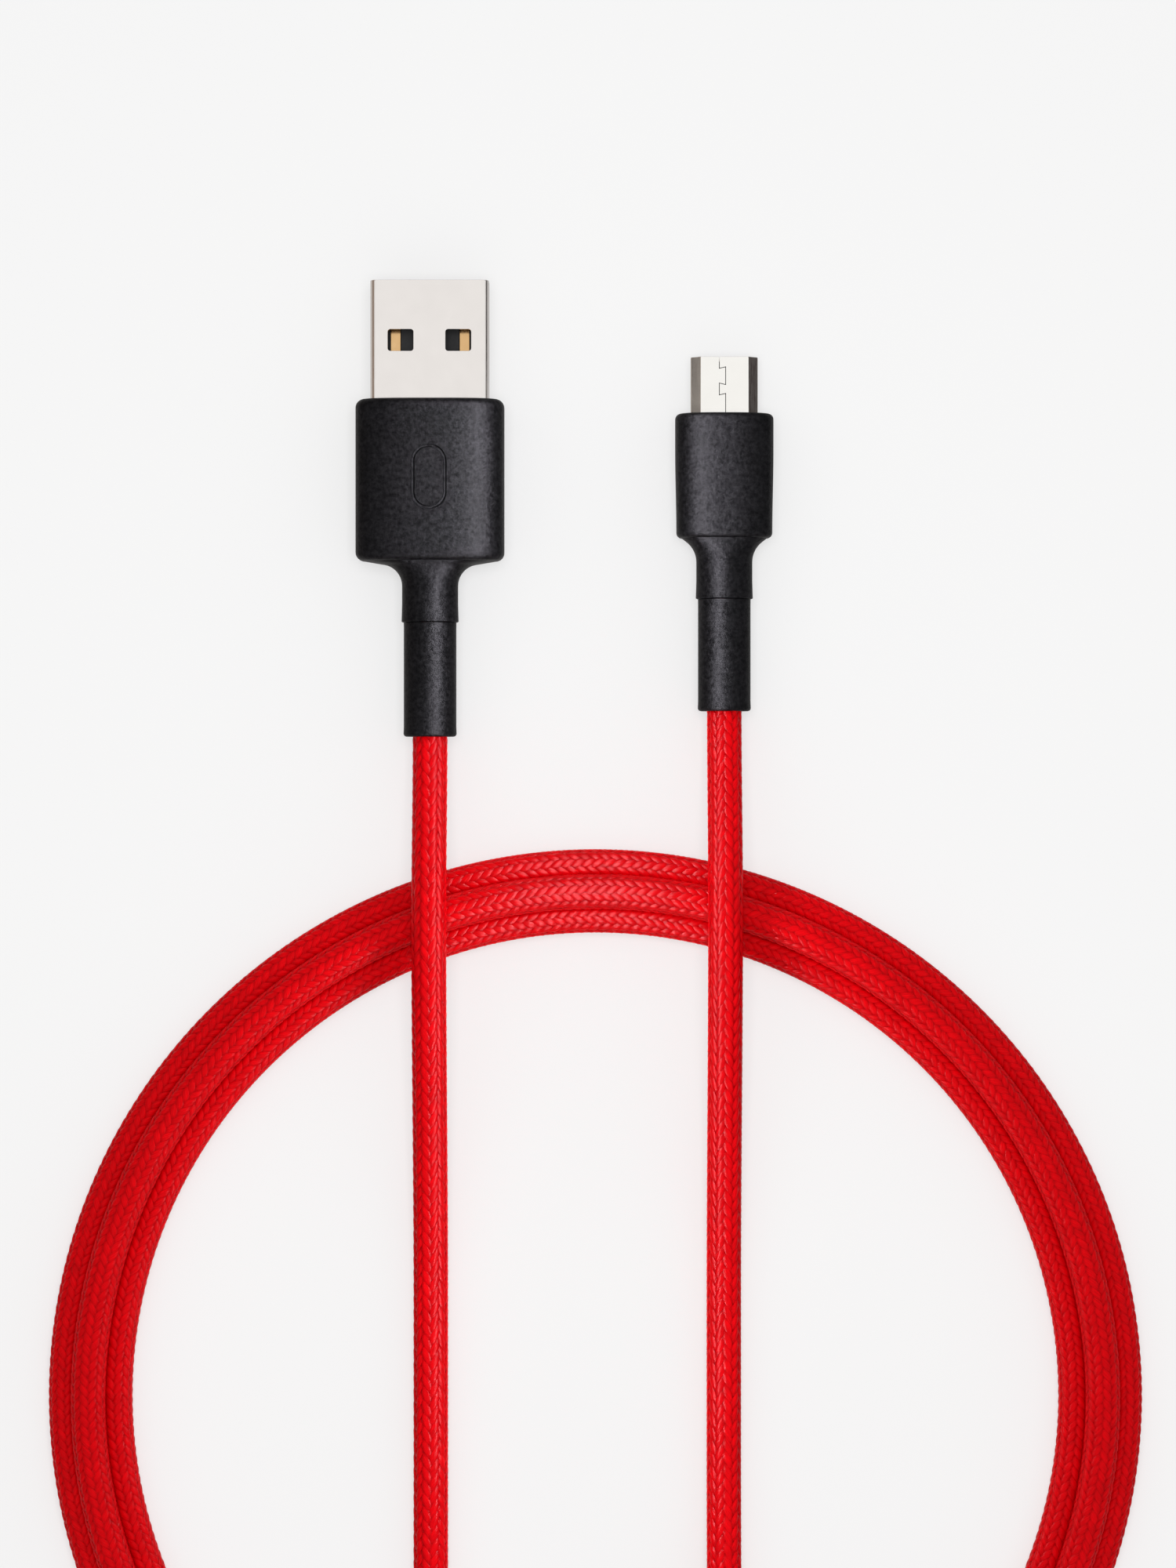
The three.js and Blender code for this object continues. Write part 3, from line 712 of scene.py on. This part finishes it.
def make_braid(name, path, start, end):
    """All the yarns between two lengths of the path, as one mesh."""
    points, faces, caps = [], [], []
    attributes = {"across": [], "along": [], "crown": []}
    offset = 0
    for hand in (1, -1):
        for yarn in range(YARNS):
            first_angle = 2 * math.pi * (yarn + (0.5 if hand < 0 else 0)) / YARNS
            grid, values = yarn_points(path, start, end, hand, first_angle)
            points.append(grid.reshape(-1, 3))
            sides, ends = skin_faces(*grid.shape[:2])
            faces.append(sides + offset)
            caps.append(ends + offset)
            for key, value in values.items():
                attributes[key].append(value.ravel())
            offset += len(points[-1])
    mesh = make_mesh(name, np.concatenate(points), [np.concatenate(faces), np.concatenate(caps)])
    for key, values in attributes.items():
        attribute = mesh.attributes.new(key, "FLOAT", "POINT")
        attribute.data.foreach_set("value", np.concatenate(values).astype(np.float32))
    return make_object(name, mesh, MATERIALS["red_braid"], 70)


def make_core(name, path, start, end):
    """The jacket under the braid, with the wires inside it, as one round core."""
    s = np.linspace(start, end, int((end - start) / 1.2) + 2)[:, None]
    angle = np.linspace(0, 2 * math.pi, 16, endpoint=False)[None, :]
    s, angle = np.broadcast_arrays(s, angle)
    points = path.at(s, np.full(s.shape, CORE_RADIUS), angle)
    return loft(name, points, material=MATERIALS["inner_jacket"])


def cable_nodes(part):
    """The CAD nodes that the core of one part of the cable stands for."""
    return [n for n in frame["nodes"] if n.startswith(part) and n.endswith(("_wire", "_jacket"))]


def blend_at_hinge(obj):
    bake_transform(obj)


def make_lead(path, part, start, end):
    braid = make_braid(part + "_woven", path, start, end)
    core = make_core(part + "_core", path, start, end)
    blend_at_hinge(braid)
    blend_at_hinge(core)
    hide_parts(part + "_braid")
    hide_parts(*cable_nodes(part + "_"))


def make_coil(path, start, end, pieces=7):
    cuts = np.linspace(start, end, pieces + 1)
    for number in range(pieces):
        braid = make_braid(f"coil_woven_{number + 1}", path, cuts[number], cuts[number + 1])
        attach(braid, "coil")
        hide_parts("coil_braid")
    core = make_core("coil_core", path, start, end)
    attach(core, "coil")
    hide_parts(*cable_nodes("coil_"))


def make_cable():
    path = cable_path()
    near_a = np.linalg.norm(path.points - LIFT_A, axis=1).argmin()
    near_b = np.linalg.norm(path.points - LIFT_B, axis=1).argmin()
    path.set_lay(path.length[near_a], path.length[near_b])
    start = path.length[near_a] + HINGE_REACH
    end = path.length[near_b] - HINGE_REACH
    make_lead(path, "usb_a_lead", 0, start)
    make_coil(path, start, end)
    make_lead(path, "micro_b_lead", end, path.length[-1])


# ---- mouldings


def rounded_end(y, edge, direction, steps=6):
    """Steps of y and inset round an edge that ends at y, going backwards (-1) or forwards (1)."""
    turns = [math.pi / 2 * step / steps for step in range(steps + 1)]
    pairs = [(y - direction * edge * (1 - math.sin(t)), edge * (1 - math.cos(t))) for t in turns]
    return pairs if direction > 0 else pairs[::-1]


# A section of a moulding is its distance from the face, half width, half height and exponent


def neck_sections(back, front):
    """The round neck, which is a little wider at the sleeve, with a soft rear edge."""
    sections = []
    for share in (0, 0.02, 0.06, 0.2, 0.5, 1):
        radius = NECK_RADIUS + NECK_FLARE * (1 - ease(share * 2.2)) - NECK_EDGE * (share == 0)
        sections.append((mix(back, front, share), radius, radius, 2))
    return sections


def shoulder_section(y, width, rim, exponent):
    """A section between the neck and the body's rear rim, at a half width."""
    rim_width, rim_height = rim
    share = (width - NECK_RADIUS) / (rim_width - NECK_RADIUS)
    return y, width, mix(NECK_RADIUS, rim_height, share), mix(2, exponent, share)


def make_grip(plug, exponent, edge, taper, fillet, slope):
    """A plug's moulding: the round neck, its fillet, the shoulder and the body.

    The fillet is a radius, and the slope is the shoulder's angle from the plug's axis in degrees.
    """
    half_width, half_height = plug.half_width, plug.half_height
    rim = half_width - taper - edge, half_height - edge
    rim_width = rim[0]
    fillet_start = BODY_BACK[plug.name] - fillet
    sections = neck_sections(plug.neck_end - plug.face, fillet_start)
    for angle in np.radians(np.linspace(8, slope, 10)):
        width = NECK_RADIUS + fillet * (1 - math.cos(angle))
        sections.append(shoulder_section(fillet_start + fillet * math.sin(angle), width, rim, exponent))
    last_y, last_width = sections[-1][:2]
    rim_y = last_y + (rim_width - last_width) / math.tan(math.radians(slope))
    for share in (0.25, 0.5, 0.75):
        y, width = mix(last_y, rim_y, share), mix(last_width, rim_width, share)
        sections.append(shoulder_section(y, width, rim, exponent))
    for y, inset in rounded_end(rim_y, edge, -1):
        sections.append((y, half_width - taper - inset, half_height - inset, exponent))
    for share in np.linspace(0.08, 0.95, 14):
        width = half_width - taper * (1 - ease(share * 1.4))
        sections.append((mix(rim_y + edge, -edge, share), width, half_height, exponent))
    for y, inset in rounded_end(0, edge, 1):
        sections.append((y, half_width - inset, half_height - inset, exponent))
    rings = [placed(superellipse(*shape), y, plug) for y, *shape in sections]
    return loft(plug.name + "_grip", np.array(rings), material=MATERIALS["black_rubber"], sharp_angle=50)


def rod(plug, radius, back, front):
    """A round rod on a plug's axis, as a tool, between two distances from the plug's face."""
    return loft("tool", np.array([placed(circle(radius), y, plug) for y in (back, front)]))


def make_hollow(plug, shell_outline):
    """The room in a moulding for the shell, the can and the barrel behind it, and the cable."""
    shell_low, shell_high = box_mm(plug.name + "_shell")
    shield_low, shield_high = box_mm(plug.name + "_rear_shield")
    can_back = box_mm(plug.name + "_inner_mould")[0][1] - CAN_BACK
    gap = np.array([0.07, 0.1, 0.07])
    ends = (shell_low[1] - plug.face - 0.1, shell_high[1] - plug.face)
    shell = loft("tool", np.array([placed(shell_outline(-SHELL_GAP), y, plug) for y in ends]))
    can = block([shield_low[0], can_back, shield_low[2]] - gap, shield_high + gap + [0, 0.2, 0])
    barrel = rod(plug, BARREL_ROOM, shield_low[1] - plug.face - 0.1, can_back - plug.face + 0.5)
    bore = rod(plug, CABLE_ROOM, plug.neck_end - plug.face - 1, shield_low[1] - plug.face + 1)
    return shell, can, barrel, bore


def make_pill_groove(plug, exponent):
    """A tool that follows the outline of the pill-shaped mark on top of the USB-A moulding."""
    angle = np.linspace(0, 2 * math.pi, 96, endpoint=False)
    x = PILL_RADIUS * np.cos(angle)
    y = PILL_Y + PILL_RADIUS * np.sin(angle) + PILL_STRAIGHT * np.sign(np.sin(angle))
    z = plug.half_height * (1 - np.abs(x / plug.half_width) ** exponent) ** (1 / exponent) + 0.02
    path = np.stack([x + plug.x, y + plug.face, z + plug.z], axis=-1)
    along = np.roll(path, -1, 0) - np.roll(path, 1, 0)
    along /= np.linalg.norm(along, axis=1)[:, None]
    side = np.cross(along, [0, 0, 1.0])
    section = circle(PILL_GROOVE, 12)
    rings = path[:, None] + side[:, None] * section[None, :, :1] + np.array([0, 0, 1]) * section[None, :, 1:]
    return loft("tool", rings, closed=True)


def make_sleeve(plug):
    """The soft sleeve behind a plug, open at its mouth, where the cable goes in."""
    outer, bore, edge = plug.sleeve_radius, CABLE_RADIUS + 0.1, SLEEVE_EDGE
    front, back = plug.neck_end - plug.face - 0.03, plug.mouth - plug.face
    outside = [(front, outer - 0.25), (front - 0.02, outer - 0.02)]
    outside += [(mix(front - 0.6, back + 1, share), outer - 0.03) for share in np.linspace(0, 1, 30)]
    turns = np.radians([0, 30, 60, 90])
    lip = [(back + edge * (1 - math.sin(t)), outer - edge * (1 - math.cos(t))) for t in turns]
    inside = [(back, bore + 0.15), (back + 0.15, bore)]
    inside += [(mix(back + 1, front, share), bore) for share in np.linspace(0, 1, 30)]
    rings = [placed(circle(radius), y, plug) for y, radius in outside + lip + inside]
    name = plug.name + "_strain_relief"
    sleeve = loft(name, np.array(rings), closed=True, material=MATERIALS["black_rubber"], sharp_angle=50)
    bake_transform(sleeve)
    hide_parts(plug.name + "_sleeve_rear", plug.name + "_sleeve_front")


def finish_grip(grip, plug):
    smooth(grip.data, 45)
    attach(grip, plug.name + "_plug")
    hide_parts(plug.name + "_moulding")


def make_usb_a_grip():
    exponent = 3.5
    grip = make_grip(USB_A, exponent, edge=0.85, taper=0, fillet=2.2, slope=80)
    cut(grip, *make_hollow(USB_A, usb_a_outline), make_pill_groove(USB_A, exponent))
    finish_grip(grip, USB_A)


def make_micro_b_grip():
    grip = make_grip(MICRO_B, 2.7, edge=0.55, taper=0.12, fillet=2.6, slope=52)
    cut(grip, *make_hollow(MICRO_B, micro_b_outline))
    finish_grip(grip, MICRO_B)


# ---- shells


def make_shell(plug, name, outline, wall):
    """A folded sheet shell, drawn along Y, where outline(inset) is its section."""
    low, high = box_mm(plug.name + "_shell")
    front, back = high[1] - plug.face, low[1] - plug.face
    steps = (0, SHEET_EDGE), (0.3 * SHEET_EDGE, 0.3 * SHEET_EDGE), (SHEET_EDGE, 0)
    outside = [(back, 0.0)] + [(front - away, inset) for inset, away in steps]
    inside = [(y, wall - inset) for y, inset in reversed(outside)]
    rings = [placed(outline(inset), y, plug) for y, inset in outside + inside]
    return loft(name, np.array(rings), closed=True, material=MATERIALS["plated_steel"], sharp_angle=35)


def finish_shell(shell, plug, material):
    shell.data.materials[0] = MATERIALS[material]
    bevel(shell, 0.03, angle=45)
    even_normals(shell)
    apply_modifiers(shell)
    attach(shell, plug.name + "_plug")
    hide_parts(plug.name + "_shell")


def upright(outline, low, high):
    """An outline in x and y, drawn up from low to high, as a tool for cutting."""
    rings = np.empty((2, len(outline), 3))
    rings[:, :, :2] = outline
    rings[0, :, 2] = low
    rings[1, :, 2] = high
    return loft("tool", rings)


def usb_a_outline(inset):
    low, high = box_mm("usb_a_shell")
    width, height = high[0] - low[0] - 2 * inset, high[2] - low[2] - 2 * inset
    return rounded_polygon(rectangle(width, height), USB_A_CORNER - 0.8 * inset)


def make_usb_a_shell():
    low, high = box_mm("usb_a_shell")
    shell = make_shell(USB_A, "usb_a_plug_shell", usb_a_outline, USB_A_WALL)
    out, ahead = WINDOW_PLACE
    for side in (-1, 1):
        window = rounded_polygon(rectangle(*WINDOW), WINDOW_CORNER)
        cut(shell, upright(window + [USB_A.x + side * out, USB_A.face + ahead], low[2] - 1, high[2] + 1))
    finish_shell(shell, USB_A, "plated_steel")


def micro_b_outline(inset):
    """Flat and wide below, narrower above, with a 45 degree slope each side."""
    side, top = MICRO_B_WIDE / 2 - inset, MICRO_B_HEIGHT / 2 - inset
    crest = MICRO_B_NARROW / 2 - inset * math.tan(math.pi / 8)
    knee = (MICRO_B_NARROW + MICRO_B_HEIGHT) / 2 - inset * math.sqrt(2) - side
    corners = [[-side, -top], [side, -top], [side, knee], [crest, top], [-crest, top], [-side, knee]]
    return rounded_polygon(corners, MICRO_B_CORNER - 0.5 * inset, steps=5)


def make_seam(plug, points, width, low, high):
    """Upright strips along a line on a shell's face, as one tool."""
    corners, faces = [], []
    for (x0, y0), (x1, y1) in zip(points, points[1:]):
        along = np.array([x1 - x0, y1 - y0])
        along /= np.linalg.norm(along)
        side = np.array([-along[1], along[0]]) * width / 2
        ends = np.array([[x0, y0] - along * width / 2, [x1, y1] + along * width / 2])
        flat = [ends[0] - side, ends[1] - side, ends[1] + side, ends[0] + side]
        first = len(corners)
        corners += [[*point, z] for z in (low, high) for point in flat]
        faces += [[first + k for k in face] for face in (
            (3, 2, 1, 0), (4, 5, 6, 7), (0, 1, 5, 4), (1, 2, 6, 5), (2, 3, 7, 6), (3, 0, 4, 7))]
    points = np.array(corners) + [plug.x, plug.face, 0]
    return make_object("tool", make_mesh("tool", points, [np.array(faces)]))


def make_micro_b_shell():
    low, high = box_mm("micro_b_shell")
    shell = make_shell(MICRO_B, "micro_b_plug_shell", micro_b_outline, MICRO_B_WALL)
    for side in ("left", "right"):
        hook_low, hook_high = box_mm(f"micro_b_{side}_latch")
        room = rounded_polygon(rectangle(hook_high[0] - hook_low[0] + 0.2, 1.85), 0.15)
        centre = [(hook_low[0] + hook_high[0]) / 2, hook_high[1] - 0.825]
        cut(shell, upright(room + centre, low[2] - 1, low[2] + 0.5))
    seam_x, tab_x = -0.53, 0.12
    seam = [
        (seam_x, 6.5), (seam_x, 4.6), (tab_x, 4.75), (tab_x, 2.95), (seam_x, 3.1),
        (seam_x, 1.9), (tab_x, 2.05), (tab_x, -1.5),
    ]
    cut(shell, make_seam(MICRO_B, seam, SEAM_WIDTH, high[2] - 0.4, high[2] + 0.5))
    finish_shell(shell, MICRO_B, "bright_steel")


# ---- carried-over CAD nodes


def finish_cad_nodes():
    """Gives each CAD node its slot's material, and soft edges where it is still seen and isn't cable."""
    for part in frame["record"]["subparts"]:
        obj = frame["nodes"][part["node"]]
        obj.data.materials.clear()
        obj.data.materials.append(MATERIALS[part["material_slot"]])
        if not obj.hide_render and not obj.name.endswith(("_wire", "_braid", "_jacket")):
            bevel(obj, 0.03, weld=True)


# ---- floor, light and camera


def make_floor():
    """A pale floor that glows a little, so that shadows on it stay faint. It is clear from below."""
    material, tree, shader = start_material("pale_floor")
    connect(
        tree, shader, Base_Color=(*[FLOOR_COLOUR] * 3, 1.0), Roughness=1.0, Specular_IOR_Level=0.0,
        Emission_Color=(*[FLOOR_GLOW] * 3, 1.0), Emission_Strength=1.0,
    )
    seen_from_below = add(tree, "NewGeometry").outputs["Backfacing"]
    clear = add(tree, "BsdfTransparent").outputs[0]
    surface = add(tree, "MixShader", {0: seen_from_below, 1: shader.outputs[0], 2: clear}).outputs[0]
    tree.links.new(surface, tree.nodes["Material Output"].inputs["Surface"])
    size = 2000.0
    corners = np.array([[-size, -size, 0], [size, -size, 0], [size, size, 0], [-size, size, 0]])
    floor = make_object("floor", make_mesh("floor", corners, [np.array([[0, 1, 2, 3]])]), material)
    floor.visible_glossy = False


def make_world():
    """A white sky and a dimmer ground, with a warm dark horizon, darkest on the right."""
    world = bpy.data.worlds.new("studio")
    world.use_nodes = True
    bpy.context.scene.world = world
    tree = world.node_tree
    direction = add(tree, "TexCoord").outputs["Generated"]
    parts = add(tree, "SeparateXYZ", {"Vector": direction}).outputs
    across = ranged(tree, parts["X"], -0.9, 0.9, 0.0, 1.0)
    horizon = blended(tree, across, srgb(*HORIZON_LEFT), srgb(*HORIZON_RIGHT))
    ray = add(tree, "LightPath").outputs
    lifted = math_node(tree, "MULTIPLY_ADD", parts["X"], SKY_LEAN, parts["Z"])
    above = ranged(tree, lifted, HORIZON_TOP, SKY_BOTTOM, 0.0, 1.0)
    below = ranged(tree, parts["Z"], GROUND_TOP, GROUND_BOTTOM, 0.0, GROUND_LEVEL)
    level = math_node(tree, "MAXIMUM", above, below)
    level = math_node(tree, "MAXIMUM", level, ray["Is Camera Ray"])
    background = tree.nodes["Background"]
    tree.links.new(blended(tree, level, horizon, srgb(255, 255, 255)), background.inputs["Color"])
    unseen = ranged(tree, ray["Is Diffuse Ray"], 0.0, 1.0, GLOSS_LEVEL, DIFFUSE_LEVEL)
    seen = ranged(tree, ray["Is Camera Ray"], 0.0, 1.0, 0.0, BACKDROP_LEVEL - GLOSS_LEVEL)
    tree.links.new(math_node(tree, "ADD", unseen, seen), background.inputs["Strength"])


def make_light(name, place, target, size, power, gloss=True, diffuse=True):
    """A rectangular lamp that the camera doesn't see, and that reflections or matt surfaces may not."""
    data = bpy.data.lights.new(name, "AREA")
    data.shape = "RECTANGLE"
    data.size, data.size_y = size[0] * MM, size[1] * MM
    data.energy = power
    light = link(bpy.data.objects.new(name, data))
    light.location = np.array(place) * MM
    towards = np.array(target) - np.array(place)
    light.rotation_mode = "QUATERNION"
    light.rotation_quaternion = Vector(towards).to_track_quat("-Z", "Y")
    light.visible_camera = False
    light.visible_glossy = gloss
    light.visible_diffuse = diffuse
    return light


def make_strip(name, slot, height, shine, glow):
    """A low strip of light between the plugs, kept to the pieces of one material.

    Its reflection and the light that it casts are two lamps, so that each has its own strength.
    """
    lit = bpy.data.collections.new(name + "_lit")
    for obj in bpy.context.scene.collection.objects:
        if obj.type == "MESH" and MATERIALS[slot].name in obj.data.materials:
            lit.objects.link(obj)
    place, target = (STRIP_X, STRIP_Y, height), (STRIP_X, STRIP_Y, 0)
    lamps = (
        make_light(name + "_shine", place, target, STRIP_SIZE, shine, diffuse=False),
        make_light(name + "_glow", place, target, STRIP_SIZE, glow, gloss=False),
    )
    for lamp in lamps:
        lamp.data.color = STRIP_COLOUR
        lamp.light_linking.receiver_collection = lit


def make_lights():
    """A broad soft light overhead, and low strips between the plugs that draw the highlights."""
    make_light("overhead", (0, 60, 420), (0, 35, 0), (160, 160), 0.9, gloss=False)
    make_strip("rubber_strip", "black_rubber", height=33, shine=0.25, glow=0.0075)
    make_strip("braid_strip", "red_braid", height=20, shine=0.15, glow=0.06)


def make_camera():
    """Straight above the plugs and the top of the ring, with +Y up the picture."""
    height_of_view, lens, sensor = 160.0, 110.0, 36.0
    middle_x, middle_y = -0.76, 33.2
    data = bpy.data.cameras.new("camera")
    data.lens, data.sensor_width = lens, sensor
    camera = link(bpy.data.objects.new("camera", data))
    distance = height_of_view * lens / sensor
    camera.location = np.array([middle_x, middle_y, distance + CABLE_RADIUS]) * MM
    data.clip_start, data.clip_end = 0.01, 10
    bpy.context.scene.camera = camera


# ---- everything

make_cable()
make_usb_a_grip()
make_micro_b_grip()
make_sleeve(USB_A)
make_sleeve(MICRO_B)
make_usb_a_shell()
make_micro_b_shell()
finish_cad_nodes()
make_floor()
make_world()
make_lights()
make_camera()
bpy.context.scene.view_settings.view_transform = "Standard"
